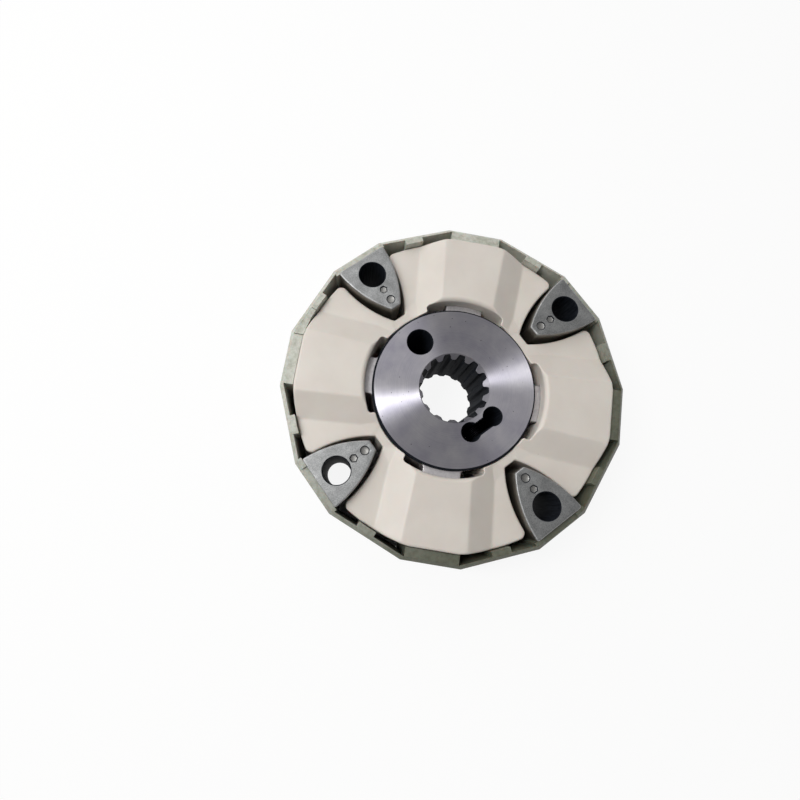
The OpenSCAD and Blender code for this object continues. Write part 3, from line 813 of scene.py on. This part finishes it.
# %% Its radial screw hole is drilled last, from the slot out through the rim
steps, overrun = 48, 2.0
drill_rows = round_rows(0, screw_z, [screw_hole_r] * 2, [-slot_y, -hub_r - overrun], steps)
points, faces = skin(drill_rows[..., [0, 2, 1]])
ends = np.arange(2 * steps).reshape(2, steps)
drill_mesh = bpy.data.meshes.new("drill")
drill_mesh.from_pydata((points * mm).tolist(), [], faces + [ends[0].tolist(), ends[1][::-1].tolist()])
print("drill:", close(drill_mesh))
for finish in (finishes["ground_steel"], painted_shade_finish, milled_finish):
    drill_mesh.materials.append(finish)
# The drilled hole's wall takes the second finish, the near-black painted shade
drill_mesh.polygons.foreach_set("material_index", np.ones(len(drill_mesh.polygons), np.int32))
drill_object = bpy.data.objects.new("drill", drill_mesh)
bpy.context.scene.collection.objects.link(drill_object)
hub.modifiers.clear()
cut = hub.modifiers.new("radial_hole", "BOOLEAN")
cut.operation, cut.solver, cut.object = "DIFFERENCE", "MANIFOLD", drill_object
bpy.context.view_layer.update()
drilled = bpy.data.meshes.new_from_object(hub.evaluated_get(bpy.context.evaluated_depsgraph_get()))
hub.modifiers.clear()
hub.data = drilled
note = close(drilled, 0.01, 0.01)
bpy.data.objects.remove(drill_object)
drilled.shade_smooth()
drilled.set_sharp_from_angle(angle=sharp_turn)
hub.modifiers.new("even_shading", "WEIGHTED_NORMAL").keep_sharp = True
print("hub after drilling:", len(drilled.polygons), "faces,", note)

# %% [markdown]
# ## The elastic element
# The element is one moulding of a cream elastomer: four thick segments joined by thin webs. Seen
# from above its edge is a chain of arcs: round the outside, round a corner, along the curved flank of
# a pocket. Its upper side is one function of the place: a raised pad in the middle of each segment,
# a slope on each side, and a low land beside each insert. A block that is sculpted or subdivided
# would come near it, but the function gives every height exactly. The upper side is filled with
# triangles whose points follow the creases, so that they stay crisp but never sharp.

# %% Sizes of the element, in mm
element_r, flat_x, flat_round, corner_r = 83.8, 82.9, 10.0, 3.5
pad_z, land_z, low_z, ceiling_z = 48.0, 41.5, 1.0, 40.6
pocket_in, pocket_clear = 4.1, 0.5
bore_r, relief_r, relief_turn, relief_bevel = 43.9, 47.3, 27.0, 2.4
pad_half, pad_rim_half, slope_w, crease = 14.1, 16.7, 13.4, 0.9
flare = math.atan2(pad_rim_half - pad_half, element_r - relief_r)
clear = 0.4
print("a pad is", 2 * pad_half, "mm wide inside and", 2 * pad_rim_half, "mm outside")


# %% Height of its upper side
def beyond_pad(points):
    """Distance of plan points beyond the edge of the nearest pad, which spreads a little outwards."""
    r, turn = np.hypot(points[..., 0], points[..., 1]), np.arctan2(points[..., 1], points[..., 0])
    local = turn % (np.pi / 2) - np.pi / 4
    x, y = r * np.cos(local), np.abs(r * np.sin(local))
    return (y - pad_half) * math.cos(flare) - (x - relief_r) * math.sin(flare)


def top_height(points):
    """Height of the upper side: the pad's up to its edge, then a straight slope down to the land.
    Both creases are rounded, by the mean of the slope over one crease width to each side."""
    def total(s):
        return np.where(s < slope_w, np.maximum(s, 0) ** 2 / 2 / slope_w, s - slope_w / 2)
    s = beyond_pad(points)
    fall = (total(s + crease) - total(s - crease)) / 2 / crease
    return pad_z - (pad_z - land_z) * fall


pad_slope_land = 60.0 * heading(np.radians((45, 25, 15)))
print("heights on a pad, a slope and a land, mm:", top_height(pad_slope_land).round(2))


# %% Its outlines
def element_edge():
    """The outer outline: pocket tip, flank, rounded corner and round edge with a flat, four times."""
    fx, reach, tip, tip_round = flank_x - pocket_in, flank_r + pocket_clear, tip_x - pocket_in, 1.2
    tx = tip + tip_round
    ty = flank_y + math.sqrt((reach - tip_round) ** 2 - (tx - fx) ** 2)
    t_turn = math.degrees(math.atan2(ty - flank_y, tx - fx)) - 180
    # The corner's centre lies one corner radius inside the edge and outside the flank's circle
    edge_reach, flank_reach, d = element_r - corner_r, reach + corner_r, math.hypot(fx, flank_y)
    along = (edge_reach ** 2 - flank_reach ** 2 + d ** 2) / 2 / d
    away = math.sqrt(edge_reach ** 2 - along ** 2)
    cx, cy = (along * fx - away * flank_y) / d, (along * flank_y + away * fx) / d
    edge_turn = math.degrees(math.atan2(cy, cx))
    c_turn = math.degrees(math.atan2(cy - flank_y, cx - fx)) - 180
    flat_y = math.sqrt((element_r - flat_round) ** 2 - (flat_x - flat_round) ** 2)
    flat_turn = math.degrees(math.atan2(flat_y, flat_x - flat_round))
    side = [(tx, ty, -tip_round, 0, t_turn, 5), (fx, flank_y, -reach, t_turn, c_turn, 32),
            (cx, cy, corner_r, c_turn, edge_turn, 12), (0, 0, element_r, edge_turn, 45 - flat_turn, 18)]
    flat = turned([(flat_x - flat_round, -flat_y, flat_round, -flat_turn, 0, 3)], 45)
    half = side + flat
    return arcs(*four_times(half + turned(mirrored(half), 90)))


def element_bore():
    """The inner outline below the lugs' ceiling: bore, rounded end of a relief, relief, lug pocket."""
    outer_round, inner_round, lug_corner = 1.2, 2.0, 0.8
    x1 = math.sqrt((bore_r + outer_round) ** 2 - outer_round ** 2)
    x2 = math.sqrt((relief_r - inner_round) ** 2 - inner_round ** 2)
    a1 = math.degrees(math.atan2(outer_round, -x1))
    a2 = 180 + math.degrees(math.atan2(inner_round, x2))
    half, reach, end = lug_half + clear, lug_reach + clear, lug_round + clear
    x3, y3 = math.sqrt((relief_r + lug_corner) ** 2 - (half + lug_corner) ** 2), -(half + lug_corner)
    a3 = math.degrees(math.atan2(-y3, -x3))
    ends = turned([(x1, -outer_round, outer_round, a1, 90, 5),
                   (x2, inner_round, -inner_round, 90, a2, 6)], -relief_turn)
    start = [(0, 0, -bore_r, 135, a1 - relief_turn, 10), *ends,
             (0, 0, -relief_r, a2 - relief_turn, a3, 8), (x3, y3, lug_corner, a3, 90, 4),
             (reach - end, end - half, -end, 90, 180, 8)]
    return arcs(*four_times(start + mirrored(start), 45))


def held_in(outline, limit):
    """The inner outline with each point that lies beyond a limit radius moved onto that circle, evenly
    between the neighbours that stay."""
    centre, radius, angle = outline
    points = inset(outline)
    beyond = np.hypot(*points.T) > limit + 1e-6
    return (np.where(beyond[:, None], 0, centre), np.where(beyond, -limit, radius),
            np.where(beyond, even_turns(points, ~beyond) + np.pi, angle))


outer, lower = element_edge(), element_bore()
upper = held_in(lower, relief_r)
print("outlines:", len(outer[1]), "points outside and", len(lower[1]), "inside")


# %% Its rounded edges and its upper side
def edge_rows(outline, profile, width):
    """Rows along an upper edge. Insets and drops of the profile are in widths, and the width may
    change along the edge; the heights hang from the upper side."""
    rows = []
    for d, drop in profile:
        flat = inset(outline, d * width)
        rows.append(rise(flat, top_height(flat) - drop * width))
    return np.stack(rows)


def inside(points, loop):
    """Whether plan points lie inside a loop, by the even-odd rule on all its sides at once."""
    (x1, y1), (x2, y2) = loop.T, np.roll(loop, -1, axis=0).T
    x, y = points[:, :1], points[:, 1:]
    with np.errstate(divide="ignore", invalid="ignore"):
        cross = ((y1 > y) != (y2 > y)) & (x < (x2 - x1) * (y - y1) / (y2 - y1) + x1)
    return cross.sum(axis=1) % 2 == 1


def upper_side(outer, inner, gap=0.7, border=0.6, spacing=1.5, past=2.3):
    """Triangles between two loops. The points between follow the pads' edges: rows along the
    segment, and columns at fixed distances from the creases, with two on each side of a crease. No
    point comes nearer to a loop than the gap, or to the next segment than the border."""
    x = np.arange(bore_r + 0.3, element_r, spacing)
    half = (pad_half + (x - relief_r) * math.tan(flare))[:, None]
    steps = np.array((0.0, crease / 2, crease))
    slope = np.concatenate((steps, np.linspace(past, slope_w - past, 7), slope_w - steps[::-1],
                            slope_w + steps[1:], slope_w + np.arange(past, 40, spacing)))
    across = np.concatenate((np.linspace(0, 1, 9)[None, :-1] * (half - crease), half - steps[:0:-1],
                             half + slope / math.cos(flare)), axis=1)
    one = np.stack((np.broadcast_to(x[:, None], across.shape), across), -1).reshape(-1, 2)
    one = one[one[:, 1] < one[:, 0] - border]
    one = np.concatenate((one, one[one[:, 1] > 0] * (1, -1)))
    along = heading(np.radians(45 + 90 * np.arange(4)))
    sideways = along[:, ::-1] * (-1, 1)
    points = (one[None, :, :1] * along[:, None] + one[None, :, 1:] * sideways[:, None]).reshape(-1, 2)
    points = points[inside(points, outer) & ~inside(points, inner)]
    rims = np.concatenate((outer, inner))
    near = ((points[:, None] - rims[None]) ** 2).sum(-1).min(axis=1)
    points = np.concatenate((rims, points[near > gap ** 2]))
    k = np.arange(len(outer))
    j = np.arange(len(inner)) + len(outer)
    sides = np.concatenate((np.stack((k, np.roll(k, -1)), -1), np.stack((j, np.roll(j, -1)), -1)))
    made, _, triangles, *_ = delaunay_2d_cdt(
        [Vector(p) for p in points.tolist()], sides.tolist(), [], 1, 1e-6)
    made, triangles = np.array([tuple(p) for p in made]), np.array(triangles)
    triangles = triangles[~inside(made[triangles].mean(axis=1), inner)]
    return rise(made, top_height(made)), triangles.tolist()


# %% The moulded element
foot_out, foot_in, edge_round, least_bevel = 0.8, 0.5, 1.1, 0.7

# Insets and drops of a quarter round whose radius is one width
quarter_round = round_over(1.0, 0.0) * (1, -1)
wide_round = round_over(1.0, 0.0, 9) * (1, -1)
outer_rows = np.concatenate((carry(outer, round_under(foot_out, low_z)),
                             edge_rows(outer, quarter_round, edge_round)))
bevel = np.clip(top_height(inset(upper)) - (pad_z - relief_bevel), least_bevel, relief_bevel)
inner_rows = np.concatenate((carry(lower, round_under(foot_in, low_z)), carry(lower, [(0, ceiling_z)]),
                             carry(upper, [(0, ceiling_z)]), edge_rows(upper, wide_round, bevel)))
piece_of("elastic_element", "flexible_element", skin(outer_rows), skin(inner_rows),
         plate(low_z, outer_rows[0], inner_rows[0]),
         upper_side(outer_rows[-1][:, :2], inner_rows[-1][:, :2]))

# %% [markdown]
# ## The clamp screw
# A socket set screw presses the thin wall beside the bore onto the pump shaft. It only shows when
# the hub is out of the element, but then its thread and socket are what tell that it is a screw.
# Blender's Screw modifier could wind the thread, but its ends would have to be closed by hand. Here
# the thread is a radius that depends on the angle and the height, so the screw is one closed grid.

# %% Its thread
screw_r, screw_length, thread_pitch, thread_depth = 6.0, 16.0, 1.75, 1.0
flat_crest, flank_share, screw_tip_r, end_bevel = 0.12, 0.7, 4.5, 0.8

count = 72
turn = np.linspace(0, 2 * np.pi, count, endpoint=False)
z = np.linspace(0, screw_length, 150)
phase = (z[:, None] / thread_pitch - turn[None] / 2 / np.pi) % 1
into = np.clip((1 - np.abs(2 * phase - 1) - flat_crest) / flank_share, 0, 1)
ends = np.minimum(screw_tip_r + z, screw_r - end_bevel + (screw_length - z))
thread = np.minimum(screw_r - thread_depth * into, np.minimum(ends, screw_r)[:, None])
print("thread radii, mm:", thread.min().round(2), "to", thread.max().round(2))

# %% The set screw, from the cup in its tip over the thread to the bottom of the socket
socket_af, socket_depth, socket_bevel, drill_tip, screw_start = 6.0, 7.0, 0.35, 1.2, -21.5
cup_radii, cup_heights = (0, 1.6, 3.2), (1.0, 0.7, 0)

socket = polygon_radius(6, socket_af, count)
bottom = screw_length - socket_depth
radii = np.concatenate((np.stack([np.full(count, r) for r in cup_radii]), thread,
                        np.stack([socket + socket_bevel, socket, socket, np.zeros(count)])))
heights = np.concatenate((cup_heights, z, (screw_length, screw_length - socket_bevel, bottom,
                                           bottom - drill_tip)))
across = radii[..., None] * heading(turn)
rows = np.stack((across[..., 0], screw_start - np.broadcast_to(heights[:, None], across.shape[:2]),
                 across[..., 1] + screw_z), -1)
piece_of("set_screw", "clamp_screw", skin(rows))

# %% [markdown]
# ## The nylon ring
# The ring is one moulding whose form is already right in the solid, so it could be built again like
# the other pieces, but the piece starts from a merged copy of the solid instead, and only its sharp
# edges are rounded, as a moulding's are. A short key closes the window beside one pad.

# %% The key in one window, in mm
ring_top, ring_bore, wall_inside, key_low = 45.8, 84.25, 86.8, 26.0
key_turn, key_from, key_to, side_turn = 112.5, 4.15, 19.0, 22.5

bore_turns = np.degrees(np.arcsin(np.array((key_to, key_from)) / ring_bore))
# The far end runs along the block beside it, which is square to the ring's next side
key_depth = wall_inside - math.sqrt(ring_bore ** 2 - key_to ** 2)
wall_to = key_to + key_depth * math.tan(math.radians(side_turn))
key = arcs(*turned([(wall_inside, key_from, 0, 0, 0, 0), (wall_inside, wall_to, 0, 0, 0, 0),
                    (0, 0, -ring_bore, 180 + bore_turns[0], 180 + bore_turns[1], 8)], key_turn))
key_rows = carry(key, [(0, key_low), (0, ring_top)])
key_skins = skin(key_rows), plate(key_low, key_rows[0]), plate(ring_top, key_rows[1])
print("key, mm:", round(key_to - key_from, 1), "long,", round(ring_top - key_low, 1), "deep")


# %% The ring from a merged copy
def rounded_copy(name, node, radius, *skins, steps=3, angle=25):
    """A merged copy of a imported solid, its flat faces joined, with its sharp edges rounded. The skins
    are more closed forms in mm that are rounded with it."""
    form = bmesh.new()
    form.from_mesh(frame["nodes"][node].data)
    bmesh.ops.remove_doubles(form, verts=form.verts, dist=0.002 * mm)
    bmesh.ops.dissolve_limit(form, angle_limit=math.radians(0.3), verts=form.verts, edges=form.edges)
    for points, faces in skins:
        more = bpy.data.meshes.new("more")
        more.from_pydata((points * mm).tolist(), [], faces)
        form.from_mesh(more)
        bpy.data.meshes.remove(more)
    mesh = bpy.data.meshes.new(name)
    form.to_mesh(mesh)
    form.free()
    piece = dress(name, node, mesh, close(mesh))
    piece.modifiers.clear()
    edge = piece.modifiers.new("rounded_edges", "BEVEL")
    edge.width, edge.segments = radius * mm, steps
    edge.limit_method, edge.angle_limit = "ANGLE", math.radians(angle)
    edge.use_clamp_overlap = True
    piece.modifiers.new("even_shading", "WEIGHTED_NORMAL").keep_sharp = True
    return piece


rounded_copy("nylon_ring", "outer_ring", 0.4, *key_skins)

# %% Finishes of the imported nodes
for node in frame["nodes"].values():
    node.data.materials.clear()
    node.data.materials.append(finishes[slot_of[node.name]])
